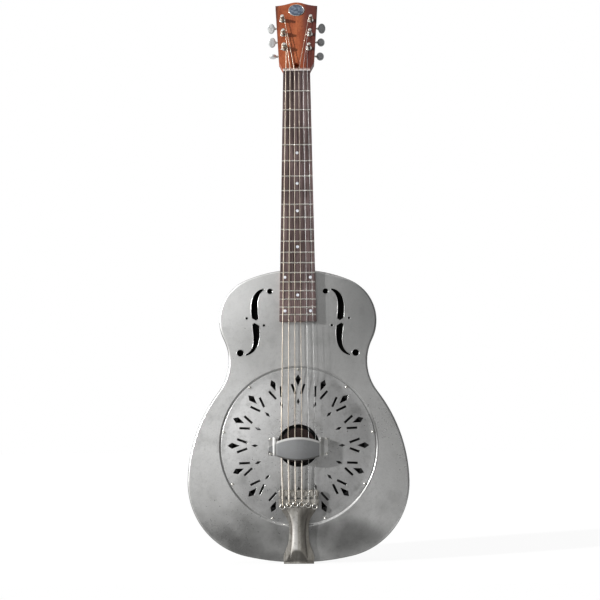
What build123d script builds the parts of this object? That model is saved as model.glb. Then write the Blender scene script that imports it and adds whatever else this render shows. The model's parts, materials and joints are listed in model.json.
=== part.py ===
"""Metal-bodied resonator guitar: one cone, fourteen frets clear of the body.

Millimetres. The guitar stands upright on its tail: +Z runs up the neck, the strings face -Y,
the bass side is -X, and y = 0 is half way through the body's depth.
"""

import os
from math import cos, pi, radians, sin, sqrt, tan

from build123d import *

os.makedirs("parts", exist_ok=True)

# ---------------------------------------------------------------- driving dimensions

# body: six tangent arcs a side, from the top of the shoulder to the tail
body_depth = 82.0
sheet = 1.0
edge_roll = 3.5
skirt = 8.0
side_lap = 3.0
shoulder_top_radius = 224.7
shoulder_radius = 74.0
waist_radius = 82.2
hip_radius = 244.7
bout_radius = 123.0
arc_ends = (67.23, -26.64, 37.33, 0.44, -77.0)

# tail end
bracket_sheet = 1.6
bracket_width = 49.0

# scale and resonator
scale_length = 635.0
compensation = 4.4
resonator_z = 190.0
well_bore_radius = 121.5
well_depth = 32.0
well_lip_radius = 131.0
pan_floor_radius = 128.0
pan_rim_radius = 131.6
pan_depth = 1.5
ledge_radius = 112.0
cone_radius = 120.5
cone_flat_radius = 28.0
cone_height = 27.0
cone_sheet = 0.6
biscuit_radius = 28.5
biscuit_height = 9.0
saddle_length = 60.0
saddle_thickness = 3.0
plate_radius = 127.7
plate_sheet = 1.2
plate_flat_from = 121.5
plate_dome_radius = 1200.0
plate_hole_radius = 34.5
plate_screw_radius = 125.2
plate_screw_hole = 1.3
plate_screw_count = 9
motif_count = 16
rest_screw_hole = 1.2

# neck and fingerboard
neck_front_y = -44.0
board_thickness = 6.5
board_length = 433.8
nut_width = 46.6
board_end_width = 61.7
nut_thickness = 5.0
fret_count = 19
crown_height = 1.1
crown_width = 2.4
tang_width = 0.5
tang_depth = 1.9
dot_radius = 2.5
dot_depth = 1.5
heel_start = 297.0

# headstock, measured up its face from the nut
headstock_tilt = 15.0
headstock_thickness = 12.0
headstock_tip = 144.0
headstock_corner = (37.4, 136.0)
headstock_waist = (33.8, 71.6)
headstock_shoulder = (30.6, 15.6)
headstock_root = 23.4

# tuners
first_post_s = 44.6
post_pitch_s = 30.0
first_post_x = 21.5
post_spread = 1.75
post_radius = 3.0
post_hole_radius = 3.5
post_height = 13.5
string_hole_height = 8.8
running_clearance = 0.06
gear_teeth = 15
worm_pitch_radius = 1.8
worm_tip_radius = 2.2
worm_core_radius = 1.3
worm_turns = 4
centre_distance = 6.0
gear_outer_radius = 4.5
gear_root_radius = 3.5
gear_thickness = 3.0
plate_thickness = 1.0
worm_depth = 15.7

# strings, low to high: wire radius, and where each leaves the nut
string_names = ("e_low", "a", "d", "g", "b", "e_high")
string_radii = (0.71, 0.58, 0.46, 0.33, 0.216, 0.165)
nut_spacing = 7.4
saddle_spacing = 11.2
tail_spacing = 10.5
string_y_nut = -52.6
string_y_saddle = -58.0
tail_bar_z = 95.6
tail_bar_top = 118.5
tail_bar_y = -51.5
coil_height = 4.6
coil_turn = 280.0
groove_clearance = 0.12

# ---------------------------------------------------------------- worked out from those

front_y = -body_depth / 2
back_y = body_depth / 2
nut_z = resonator_z + scale_length + compensation
board_end_z = nut_z - board_length
board_front_y = neck_front_y - board_thickness
headstock_z = nut_z + nut_thickness
gear_pitch_radius = centre_distance - worm_pitch_radius
worm_lead = 2 * pi * gear_pitch_radius / gear_teeth
saddle_y = string_y_saddle - 0.4
pan_y = front_y + pan_depth
plate_rim_y = pan_y - plate_sheet
well_floor_y = front_y + well_depth
cone_top_y = well_floor_y - cone_height
resonator_axis = Axis((0, 0, resonator_z), (0, 1, 0))


def facing(y):
    """Plane across the guitar at depth y, looking at the player: local x is X, local y is Z."""
    return Plane.XZ.offset(-y)


def heading(degrees):
    """Unit vector at an angle in a flat drawing."""
    return Vector(cos(radians(degrees)), sin(radians(degrees)))


def outline_arcs(inset):
    """Right-hand side of the body as (centre, radius, start angle, sweep), walls moved in by inset."""
    crown_end, shoulder_end, waist_end, hip_end, bout_end = arc_ends
    crown = Vector(0, -shoulder_top_radius)
    shoulder = crown + heading(crown_end) * (shoulder_top_radius - shoulder_radius)
    waist = shoulder + heading(shoulder_end) * (shoulder_radius + waist_radius)
    hip = waist - heading(waist_end) * (waist_radius + hip_radius)
    bout = hip + heading(hip_end) * (hip_radius - bout_radius)
    tail_radius = bout_radius + bout.X / cos(radians(bout_end))
    tail = bout - heading(bout_end) * (tail_radius - bout_radius)
    lift = Vector(0, bracket_sheet - (tail.Y - tail_radius))
    return [
        (crown + lift, shoulder_top_radius - inset, 90, crown_end - 90),
        (shoulder + lift, shoulder_radius - inset, crown_end, shoulder_end - crown_end),
        (waist + lift, waist_radius + inset, shoulder_end + 180, waist_end - shoulder_end),
        (hip + lift, hip_radius - inset, waist_end, hip_end - waist_end),
        (bout + lift, bout_radius - inset, hip_end, bout_end - hip_end),
        (tail + lift, tail_radius - inset, bout_end, -90 - bout_end),
    ]


crown_centre_z = outline_arcs(0)[0][0].Y
body_top_z = crown_centre_z + shoulder_top_radius


def body_outline(inset, mode=Mode.ADD):
    """Fill the guitar's outline on the active sketch."""
    with BuildLine() as outline:
        for centre, radius, start, sweep_angle in outline_arcs(inset):
            CenterArc((centre.X, centre.Y), radius, start, sweep_angle)
        mirror(about=Plane.YZ)
    make_face(outline.edges(), mode=mode)


def board_half_width(below_nut):
    """Half the fingerboard's width at a distance below the nut."""
    return (nut_width + (board_end_width - nut_width) * below_nut / board_length) / 2


def fret_distance(number):
    """Distance of a fret from the nut in equal temperament."""
    return scale_length * (1 - 2 ** (-number / 12))


def plate_top_y(radius):
    """Front surface of the coverplate's dome at a radius."""
    rise = (plate_flat_from**2 - radius**2) / (2 * plate_dome_radius)
    return plate_rim_y - rise


def write(shape, label):
    """Label one finished piece and write its STEP file."""
    shape.label = label
    export_step(shape, f"parts/{label}.step")


# ---------------------------------------------------------------- body shell


def f_hole():
    """Cut one segmented f-hole, bass side, on the active sketch: two arms, two eyes, two notches."""
    with Locations((-46.8, 447.0)):
        Circle(4.7)
    with Locations((-96.4, 343.1)):
        Circle(5.6)
    with Locations((-85.9, 401.4), (-56.9, 389.3)):
        Circle(2.1)
    with BuildLine() as upper_arm:
        outer = Spline((-56.6, 451.6), (-70.5, 444.8), (-78.0, 422.4), (-77.0, 401.4))
        foot = Polyline(outer @ 1, (-70.2, 397.5), (-66.0, 400.6))
        inner = Spline(foot @ 1, (-67.7, 422.4), (-63.8, 441.4), (-56.2, 449.4))
        Line(inner @ 1, outer @ 0)
    make_face(upper_arm.edges())
    with BuildLine() as lower_arm:
        shoulder = Polyline((-76.4, 391.0), (-73.1, 393.7), (-64.9, 389.0))
        outer = Spline(shoulder @ 1, (-64.2, 372.0), (-69.0, 351.8), (-87.2, 338.6))
        tip = Line(outer @ 1, (-87.6, 340.4))
        Spline(tip @ 1, (-75.4, 354.6), (-74.3, 371.0), (-76.4, 391.0))
    make_face(lower_arm.edges())


with BuildPart() as body_top:
    with BuildSketch(facing(front_y + skirt)):
        body_outline(0)
    extrude(amount=skirt)
    fillet(body_top.faces().sort_by(Axis.Y)[0].edges(), edge_roll)
    offset(amount=-sheet, openings=body_top.faces().sort_by(Axis.Y)[-1])
    with BuildSketch(facing(front_y + skirt)):
        f_hole()
        mirror(about=Plane.YZ)
        with Locations((0, resonator_z)):
            Circle(pan_rim_radius)
    extrude(amount=skirt, mode=Mode.SUBTRACT)
    # the coverplate lies in a shallow pan with a soft sloping wall
    with BuildSketch(Plane.XY.offset(resonator_z)):
        with BuildLine():
            level = ((1, 0), (1, 0))
            wall = Spline((pan_floor_radius, pan_y), (pan_rim_radius, front_y), tangents=level)
            rim_back = (pan_rim_radius, front_y + sheet)
            floor_back = (pan_floor_radius, pan_y + sheet)
            back = Spline(floor_back, rim_back, tangents=level)
            Line(wall @ 1, back @ 1)
            Polyline(
                wall @ 0,
                (well_bore_radius, pan_y),
                (well_bore_radius, pan_y + sheet),
                back @ 0,
            )
        make_face()
    revolve(axis=resonator_axis)
    with BuildSketch(facing(front_y + skirt)):
        with Locations((0, resonator_z)):
            with PolarLocations(plate_screw_radius, plate_screw_count, 90):
                Circle(plate_screw_hole)
    extrude(amount=skirt, mode=Mode.SUBTRACT)
write(body_top.part, "body_top")

with BuildPart() as body_back:
    with BuildSketch(facing(back_y)):
        body_outline(0)
    extrude(amount=skirt)
    fillet(body_back.faces().sort_by(Axis.Y)[-1].edges(), edge_roll)
    offset(amount=-sheet, openings=body_back.faces().sort_by(Axis.Y)[0])
write(body_back.part, "body_back")

side_depth = body_depth - 2 * (skirt - side_lap)
stick_width = 28.0
stick_y = (2.0, 30.0)
screw_spots = ((-15, -24), (15, -24), (0, -14))
bracket_screw_radius = 1.5
bracket_screw_hole = 1.6
bracket_screw_length = 15.0

with BuildPart() as body_sides:
    with BuildSketch(facing(side_depth / 2)):
        body_outline(sheet)
        body_outline(2 * sheet, mode=Mode.SUBTRACT)
    extrude(amount=side_depth)
    with BuildSketch(Plane.XY.offset(body_top_z - 10)):
        with Locations((0, sum(stick_y) / 2)):
            Rectangle(stick_width, stick_y[1] - stick_y[0])
    extrude(amount=20, mode=Mode.SUBTRACT)
    with BuildSketch(Plane.XY):
        with Locations(*screw_spots):
            Circle(bracket_screw_hole)
    extrude(amount=12, mode=Mode.SUBTRACT)
write(body_sides.part, "body_sides")

# ---------------------------------------------------------------- resonator

well_port_radius = 7.0
well_port_y = -23.0

with BuildPart() as sound_well:
    with BuildSketch(Plane.XY.offset(resonator_z)):
        with BuildLine():
            Polyline(
                (ledge_radius, well_floor_y),
                (well_bore_radius, well_floor_y),
                (well_bore_radius, pan_y + sheet),
                (well_lip_radius, pan_y + sheet),
                (well_lip_radius, pan_y + 2 * sheet),
                (well_bore_radius + sheet, pan_y + 2 * sheet),
                (well_bore_radius + sheet, well_floor_y + sheet),
                (ledge_radius, well_floor_y + sheet),
                close=True,
            )
        make_face()
    revolve(axis=resonator_axis)
    for port in range(8):
        turn = radians(45 * port + 22.5)
        outward = Vector(cos(turn), 0, sin(turn))
        spot = Vector(0, well_port_y, resonator_z) + outward * (well_bore_radius - 2)
        with BuildSketch(Plane(spot, x_dir=(0, 1, 0), z_dir=outward)):
            Circle(well_port_radius)
        extrude(amount=5, mode=Mode.SUBTRACT)
    with BuildSketch(facing(pan_y + 3 * sheet)):
        with Locations((0, resonator_z)):
            with PolarLocations(plate_screw_radius, plate_screw_count, 90):
                Circle(plate_screw_hole)
    extrude(amount=2 * sheet, mode=Mode.SUBTRACT)
write(sound_well.part, "sound_well")

cone_profile = (
    (2.0, cone_top_y),
    (cone_flat_radius, cone_top_y),
    (31.0, cone_top_y + 1.6),
    (70.0, cone_top_y + 14.2),
    (72.0, cone_top_y + 13.8),
    (108.0, cone_top_y + 25.0),
    (111.0, well_floor_y - cone_sheet),
    (cone_radius, well_floor_y - cone_sheet),
)

with BuildPart() as cone:
    with BuildSketch(Plane.XY.offset(resonator_z)):
        with BuildLine():
            outside = Polyline(*cone_profile)
            inside = Polyline(*[(r, y + cone_sheet) for r, y in cone_profile])
            Line(outside @ 0, inside @ 0)
            Line(outside @ 1, inside @ 1)
        make_face()
    revolve(axis=resonator_axis)
write(cone.part, "cone")

slot_depth = 3.0
biscuit_front_y = cone_top_y - biscuit_height
biscuit_screw_radius = 1.5
biscuit_screw_length = 5.0

with BuildPart() as biscuit:
    with BuildSketch(facing(cone_top_y)):
        with Locations((0, resonator_z)):
            Circle(biscuit_radius)
    extrude(amount=biscuit_height)
    with BuildSketch(facing(biscuit_front_y + slot_depth)):
        with Locations((0, resonator_z)):
            Rectangle(saddle_length, saddle_thickness)
    extrude(amount=slot_depth, mode=Mode.SUBTRACT)
    with BuildSketch(facing(cone_top_y)):
        with Locations((0, resonator_z)):
            Circle(biscuit_screw_radius)
    extrude(amount=biscuit_screw_length, mode=Mode.SUBTRACT)
write(biscuit.part, "biscuit")

with BuildPart() as biscuit_screw:
    with BuildSketch(facing(cone_top_y + cone_sheet)):
        with Locations((0, resonator_z)):
            Circle(biscuit_screw_radius)
    extrude(amount=biscuit_screw_length)
    with BuildSketch(facing(cone_top_y + cone_sheet)):
        with Locations((0, resonator_z)):
            Circle(4.0)
    extrude(amount=-2.0)
    fillet(biscuit_screw.edges().filter_by(GeomType.CIRCLE).sort_by(Axis.Y)[-1], 1.2)
write(biscuit_screw.part, "biscuit_screw")


def string_x(index, spacing):
    """Where a string lies across the neck, low string on the bass side."""
    return (index - 2.5) * spacing


def string_groove(x, y, wire):
    """Cut one open groove for a string on the active sketch."""
    with Locations((x, y)):
        Circle(wire + groove_clearance)
        with Locations((0, -wire)):
            Rectangle(2 * (wire + groove_clearance), 2 * wire)


with BuildPart() as saddle:
    with BuildSketch(facing(biscuit_front_y + slot_depth)):
        with Locations((0, resonator_z)):
            Rectangle(saddle_length, saddle_thickness)
    extrude(amount=biscuit_front_y + slot_depth - saddle_y)
    fillet(saddle.faces().sort_by(Axis.Y)[0].edges().filter_by(Axis.X), 1.0)
    for index, wire in enumerate(string_radii):
        with BuildSketch(Plane.XY.offset(resonator_z - saddle_thickness)):
            string_groove(string_x(index, saddle_spacing), string_y_saddle, wire)
        extrude(amount=2 * saddle_thickness, mode=Mode.SUBTRACT)
write(saddle.part, "saddle")


def coverplate_motif():
    """Cut one motif on the active sketch, pointing out along local x."""
    Polygon((97, 0), (109.8, -4.9), (116.8, 0), (109.8, 4.9), align=None)
    Polygon((66.5, 0), (72, -2.3), (77.5, 0), (72, 2.3), align=None)
    with Locations(Location((92.8, 7.7), 20), Location((92.8, -7.7), -20)):
        Rectangle(17.6, 3.6)


rest_z = resonator_z - 1.5
rest_screw_x = 46.0
palm_screws = [(x, rest_z + z) for x in (-rest_screw_x, rest_screw_x) for z in (-12, 12)]

with BuildPart() as coverplate:
    with BuildSketch(Plane.XY.offset(resonator_z)):
        with BuildLine():
            hole_y = plate_top_y(plate_hole_radius)
            dome = ThreePointArc(
                (plate_hole_radius, hole_y), (80, plate_top_y(80)), (plate_flat_from, plate_rim_y)
            )
            rim = Polyline(
                dome @ 1,
                (plate_radius - 0.4, plate_rim_y),
                (plate_radius, plate_rim_y + 0.4),
                (plate_radius, pan_y),
                (plate_flat_from, pan_y),
            )
            under = ThreePointArc(
                rim @ 1,
                (80, plate_top_y(80) + plate_sheet),
                (plate_hole_radius, hole_y + plate_sheet),
            )
            Line(under @ 1, dome @ 0)
        make_face()
    revolve(axis=resonator_axis)
    with BuildSketch(facing(pan_y + 1)):
        with Locations((0, resonator_z)):
            with PolarLocations(0, motif_count, 90):
                coverplate_motif()
            with PolarLocations(plate_screw_radius, plate_screw_count, 90):
                Circle(plate_screw_hole)
        with Locations(*palm_screws):
            Circle(rest_screw_hole)
    extrude(amount=12, mode=Mode.SUBTRACT)
write(coverplate.part, "coverplate")


def round_screw(y_seat, shank_radius, shank_length, head_radius, head_height, centre):
    """One round-headed slotted screw driven towards +Y, added to the active part."""
    with BuildSketch(facing(y_seat + shank_length)) as shank:
        with Locations(centre):
            Circle(shank_radius)
    extrude(shank.sketch, amount=shank_length)
    with BuildSketch(Plane.XY.offset(centre[1])) as head:
        with BuildLine():
            crown_line = ThreePointArc(
                (centre[0] + head_radius, y_seat),
                (centre[0] + head_radius * 0.72, y_seat - head_height * 0.68),
                (centre[0], y_seat - head_height),
            )
            Polyline(crown_line @ 1, (centre[0], y_seat), crown_line @ 0)
        make_face()
    revolve(head.sketch, axis=Axis((centre[0], 0, centre[1]), (0, 1, 0)))
    with BuildSketch(facing(y_seat - head_height * 0.45)) as slot:
        with Locations(centre):
            Rectangle(2 * head_radius, 0.6, rotation=35)
    extrude(slot.sketch, amount=head_height, mode=Mode.SUBTRACT)


with BuildPart() as coverplate_screws:
    for number in range(plate_screw_count):
        place = heading(90 + 360 * number / plate_screw_count) * plate_screw_radius
        spot = (place.X, place.Y + resonator_z)
        round_screw(plate_rim_y, 1.2, 5.0, 2.4, 1.5, spot)
write(coverplate_screws.part, "coverplate_screws")

# palm rest: a bent strip whose edges are trimmed to a barrel shape
rest_sheet = 1.2
rest_front_y = -69.0
rest_half_span = 49.5
rest_crest_x = 33.0
rest_shoulder_x = 35.9
rest_leg_x = 41.0
rest_head_radius = 2.3
# a foot is flat and the dome is crowned, so the foot's front stands off by the crown's rise
rest_stand_off = rest_sheet + 0.015

with BuildPart() as palm_rest:
    with BuildSketch(Plane.XY.offset(resonator_z - 30)):
        with BuildLine():
            crest = ThreePointArc(
                (-rest_crest_x, rest_front_y + 2.6),
                (0, rest_front_y),
                (rest_crest_x, rest_front_y + 2.6),
            )
            right_leg = FilletPolyline(
                crest @ 1,
                (rest_shoulder_x, rest_front_y + 3.2),
                (rest_leg_x, plate_top_y(rest_leg_x) - rest_stand_off),
                (rest_half_span, plate_top_y(rest_half_span) - rest_stand_off),
                radius=(2.2, 1.8),
            )
            left_leg = mirror(right_leg, about=Plane.YZ)
            offset(amount=rest_sheet, side=Side.LEFT, closed=True)
        make_face()
    extrude(amount=60)
    with BuildSketch(facing(front_y)):
        with Locations((0, rest_z)):
            RectangleRounded(2 * rest_half_span, 29.5, 4.5)
            Rectangle(2 * rest_shoulder_x, 31, mode=Mode.SUBTRACT)
        with BuildLine():
            upper = ThreePointArc(
                (-rest_shoulder_x - 1.6, rest_z + 7.3),
                (0, rest_z + 15.0),
                (rest_shoulder_x + 1.6, rest_z + 7.3),
            )
            lower = ThreePointArc(
                (rest_shoulder_x + 1.6, rest_z - 14.6),
                (0, rest_z - 22.1),
                (-rest_shoulder_x - 1.6, rest_z - 14.6),
            )
            Line(upper @ 1, lower @ 0)
            Line(lower @ 1, upper @ 0)
        make_face()
    extrude(amount=40, mode=Mode.INTERSECT)
    with BuildSketch(facing(front_y)):
        with Locations(*palm_screws):
            Circle(rest_screw_hole)
    extrude(amount=12, mode=Mode.SUBTRACT)
write(palm_rest.part, "palm_rest")

with BuildPart() as palm_rest_screws:
    seat_y = plate_top_y(rest_screw_x - rest_head_radius) - rest_stand_off
    for spot in palm_screws:
        round_screw(seat_y, 1.1, 3.6, rest_head_radius, 1.5, spot)
write(palm_rest_screws.part, "palm_rest_screws")

# ---------------------------------------------------------------- tail

hinge_radius = 2.2
hinge_pin_radius = 1.0
hinge_y = -43.6
hinge_z = hinge_radius
hinge_fit = 0.04
middle_knuckle = 11.0
knuckle_gap = 0.3
foot_clear_z = 2 * hinge_radius + 0.5
tail_sheet = 1.6
bar_foot_z = 91.0


def ball_z(index):
    """Height of a string's hole in the tailpiece: the outer ones sit a little lower."""
    return tail_bar_z - 0.0052 * string_x(index, tail_spacing) ** 2


def strut_front(z):
    """Front surface of the tailpiece at a height: a straight slope from foot to string bar."""
    foot_z = 12.0
    bar_z = bar_foot_z
    foot_y = -46.2
    share = min(max((z - foot_z) / (bar_z - foot_z), 0), 1)
    return foot_y + (tail_bar_y - foot_y) * share


ring_height = 0.9
ring_outer_radius = 5.1
ring_inner_radius = 3.1
ball_radius = 1.95
ball_length = 3.7
ball_y = tail_bar_y + tail_sheet + ball_radius + 0.02
ball_hole_radius = 1.6
bar_half_width = 32.6
lobe_z = tail_bar_top - 5.6
lobe_length = 10.6
edge_lobe_x = 30.3
notch_z = tail_bar_top - 13.4
lobe_spots = [(position * tail_spacing, lobe_z) for position in range(-2, 3)]
notch_spots = [(position * tail_spacing, notch_z) for position in range(-2, 3)]
hole_spots = [(string_x(index, tail_spacing), ball_z(index)) for index in range(6)]
# height, half width and rise of the pressed rib, from the foot to the string bar
rib_sections = ((7, 14, 0.6), (19, 13.2, 4.6), (36, 11.6, 5.0), (60, 11.2, 4.6), (78, 15, 3.0), (90, 23, 1.0))

with BuildPart() as tailpiece:
    with BuildSketch(Plane.YZ):
        with BuildLine():
            Polyline(
                (tail_bar_y, tail_bar_top + 1),
                (tail_bar_y, bar_foot_z),
                (strut_front(12), 12),
                (hinge_y - hinge_radius, hinge_z),
                (hinge_y - hinge_radius + tail_sheet, hinge_z),
                (strut_front(12) + tail_sheet, 12),
                (tail_bar_y + tail_sheet, bar_foot_z),
                (tail_bar_y + tail_sheet, tail_bar_top + 1),
                close=True,
            )
        make_face()
    extrude(amount=40, both=True)
    with BuildSketch(facing(front_y)):
        with Locations((0, (bar_foot_z + tail_bar_top) / 2)):
            RectangleRounded(2 * bar_half_width, tail_bar_top - bar_foot_z, 3)
        with Locations(*hole_spots):
            Circle(5.5)
        with BuildLine():
            edge = Spline(
                (31, 93),
                (26.8, 84.5),
                (21, 76),
                (17.4, 68.5),
                (15.8, 59.5),
                (16.1, 47),
                (17.3, 34),
                (20.6, 24.5),
                (25, 12),
            )
            Polyline(edge @ 1, (25, 9), (bracket_width / 2, foot_clear_z), (0, foot_clear_z))
            mirror(about=Plane.YZ)
            Line((-31, 93), (31, 93))
        make_face()
        with Locations((0, foot_clear_z / 2)):
            Rectangle(2 * middle_knuckle, foot_clear_z + 0.2)
    extrude(amount=14, mode=Mode.INTERSECT)
    with BuildSketch(Plane.YZ):
        with Locations((hinge_y, hinge_z)):
            Circle(hinge_radius)
    extrude(amount=middle_knuckle, both=True)
    with BuildSketch(Plane.YZ):
        with Locations((hinge_y, hinge_z)):
            Circle(hinge_pin_radius + hinge_fit)
    extrude(amount=middle_knuckle + 1, both=True, mode=Mode.SUBTRACT)
    # pressed rib, narrow at the foot and spreading towards the string bar
    for z, half_width, height in rib_sections:
        with BuildSketch(Plane.XY.offset(z)):
            with Locations((0, strut_front(z) + 0.4)):
                Ellipse(half_width, height)
                Rectangle(60, 12, align=(Align.CENTER, Align.MIN), mode=Mode.SUBTRACT)
    loft()
    with BuildSketch(facing(tail_bar_y + 0.2)):
        with Locations(*hole_spots):
            Circle(ring_outer_radius)
    extrude(amount=ring_height + 0.2, taper=12)
    with BuildSketch(facing(tail_bar_y + 0.4)):
        with Locations(*hole_spots):
            Circle(ring_inner_radius)
    extrude(amount=4, mode=Mode.SUBTRACT)
    with BuildSketch(facing(tail_bar_y + 3)):
        with Locations(*notch_spots):
            SlotOverall(6.4, 2.6)
        with Locations((-bar_half_width, notch_z), (bar_half_width, notch_z)):
            SlotOverall(6.4, 2.6)
    extrude(amount=8, mode=Mode.SUBTRACT)
    with BuildSketch(facing(tail_bar_y + 0.2)):
        with Locations(*lobe_spots):
            SlotOverall(lobe_length, 8.0, rotation=90)
        with Locations((-edge_lobe_x, lobe_z), (edge_lobe_x, lobe_z)):
            SlotOverall(lobe_length, 4.6, rotation=90)
    extrude(amount=2.6, taper=18)
    with BuildSketch(facing(tail_bar_y + 3)):
        with Locations(*hole_spots):
            Circle(ball_hole_radius)
    extrude(amount=8, mode=Mode.SUBTRACT)
write(tailpiece.part, "tailpiece")

with BuildPart() as tailpiece_hinge_pin:
    with BuildSketch(Plane.YZ):
        with Locations((hinge_y, hinge_z)):
            Circle(hinge_pin_radius)
    extrude(amount=bracket_width / 2, both=True)
write(tailpiece_hinge_pin.part, "tailpiece_hinge_pin")

with BuildPart() as tailpiece_bracket:
    with BuildSketch(Plane.XY):
        with Locations((0, hinge_y)):
            Rectangle(bracket_width, 37, align=(Align.CENTER, Align.MIN))
        with Locations(*screw_spots):
            Circle(bracket_screw_hole, mode=Mode.SUBTRACT)
    extrude(amount=bracket_sheet)
    with BuildSketch(Plane.YZ):
        with Locations((hinge_y, hinge_z)):
            Circle(hinge_radius)
    extrude(amount=bracket_width / 2, both=True)
    with BuildSketch(Plane.YZ):
        with Locations((hinge_y, hinge_z)):
            Circle(hinge_radius + 0.3)
    extrude(amount=middle_knuckle + knuckle_gap, both=True, mode=Mode.SUBTRACT)
    with BuildSketch(Plane.YZ):
        with Locations((hinge_y, hinge_z)):
            Circle(hinge_pin_radius + hinge_fit)
    extrude(amount=bracket_width, both=True, mode=Mode.SUBTRACT)
    with BuildSketch(Plane.XY):
        with Locations(*screw_spots):
            Circle(3.0)
    extrude(amount=bracket_sheet - 0.1, taper=43, mode=Mode.SUBTRACT)
write(tailpiece_bracket.part, "tailpiece_bracket")

with BuildPart() as tailpiece_screws:
    with BuildSketch(Plane.XY):
        with Locations(*screw_spots):
            Circle(3.0)
    extrude(amount=bracket_sheet - 0.1, taper=43)
    with BuildSketch(Plane.XY):
        with Locations(*screw_spots):
            Circle(bracket_screw_radius)
    extrude(amount=bracket_screw_length)
write(tailpiece_screws.part, "tailpiece_screws")

tail_block_top = 24.0

with BuildPart() as tail_block:
    with BuildSketch(facing(stick_y[1])):
        body_outline(2 * sheet)
        with Locations((0, 0)):
            Rectangle(70, 2 * tail_block_top, mode=Mode.INTERSECT)
    extrude(amount=60)
    with BuildSketch(Plane.XY):
        with Locations(*screw_spots):
            Circle(bracket_screw_radius)
    extrude(amount=bracket_screw_length, mode=Mode.SUBTRACT)
write(tail_block.part, "tail_block")

# ---------------------------------------------------------------- neck stick and neck

with BuildPart() as neck_stick:
    with BuildSketch(Plane.XY.offset(tail_block_top)):
        with Locations((0, sum(stick_y) / 2)):
            Rectangle(stick_width, stick_y[1] - stick_y[0])
    extrude(amount=body_top_z - tail_block_top)
    with BuildSketch(facing(back_y)):
        with Locations((0, crown_centre_z)):
            Circle(shoulder_top_radius)
        with Locations((0, crown_centre_z - shoulder_top_radius)):
            Rectangle(stick_width, 2 * shoulder_top_radius)
    extrude(amount=body_depth, mode=Mode.INTERSECT)
    with BuildSketch(facing(back_y - sheet)):
        with Locations((0, 90), (0, 290)):
            Circle(10)
    extrude(amount=back_y - sheet - stick_y[1])
write(neck_stick.part, "neck_stick")

headstock_plane = Plane(
    origin=(0, neck_front_y, headstock_z),
    x_dir=(1, 0, 0),
    z_dir=(0, -cos(radians(headstock_tilt)), sin(radians(headstock_tilt))),
)


def tuner_place(index):
    """Headstock coordinates (x, s) and side of the post that one string goes to."""
    order = (0, 1, 2, 2, 1, 0)[index]
    side = -1 if index < 3 else 1
    return side * (first_post_x + post_spread * order), first_post_s + post_pitch_s * order, side


def headstock_outline():
    """Fill the headstock's outline on the active sketch."""
    corner_x, corner_s = headstock_corner
    with BuildLine() as outline:
        cheek = Line((headstock_root, 0), headstock_shoulder)
        flank = ThreePointArc(cheek @ 1, headstock_waist, headstock_corner)
        top_hollow = (corner_x - 17.5, corner_s + 3.1)
        hollow = ThreePointArc(flank @ 1, top_hollow, (9, headstock_tip - 1.2))
        ThreePointArc(hollow @ 1, (5.0, headstock_tip - 0.35), (0, headstock_tip))
        mirror(about=Plane.YZ)
        Line((-headstock_root, 0), (headstock_root, 0))
    make_face(outline.edges())


def d_section(z, half_width, depth, front):
    """Half-ellipse neck section with its flat towards the strings."""
    with BuildSketch(Plane.XY.offset(z)) as section:
        with Locations((0, front)):
            Ellipse(half_width, depth)
            in_front = (Align.CENTER, Align.MAX)
            Rectangle(2 * half_width + 4, depth + 4, align=in_front, mode=Mode.SUBTRACT)
    return section.sketch


rod_radius = 3.0
rod_y = neck_front_y + 6.5
rod_bottom_z = nut_z - 330
rod_top_z = headstock_z + 2
badge_centre_s = 126.4
badge_size = (13.8, 12.4)
badge_depth = 1.0
bushing_radius = 4.3
bushing_depth = 6.0
heel_z = nut_z - heel_start
neck_depth_nut = 20.5
heel_profile = ((0, 23.5), (16, 27.5), (30, 41), (41, 60), (56, 76))
throat = 17.6
neck_inset = 0.15

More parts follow.
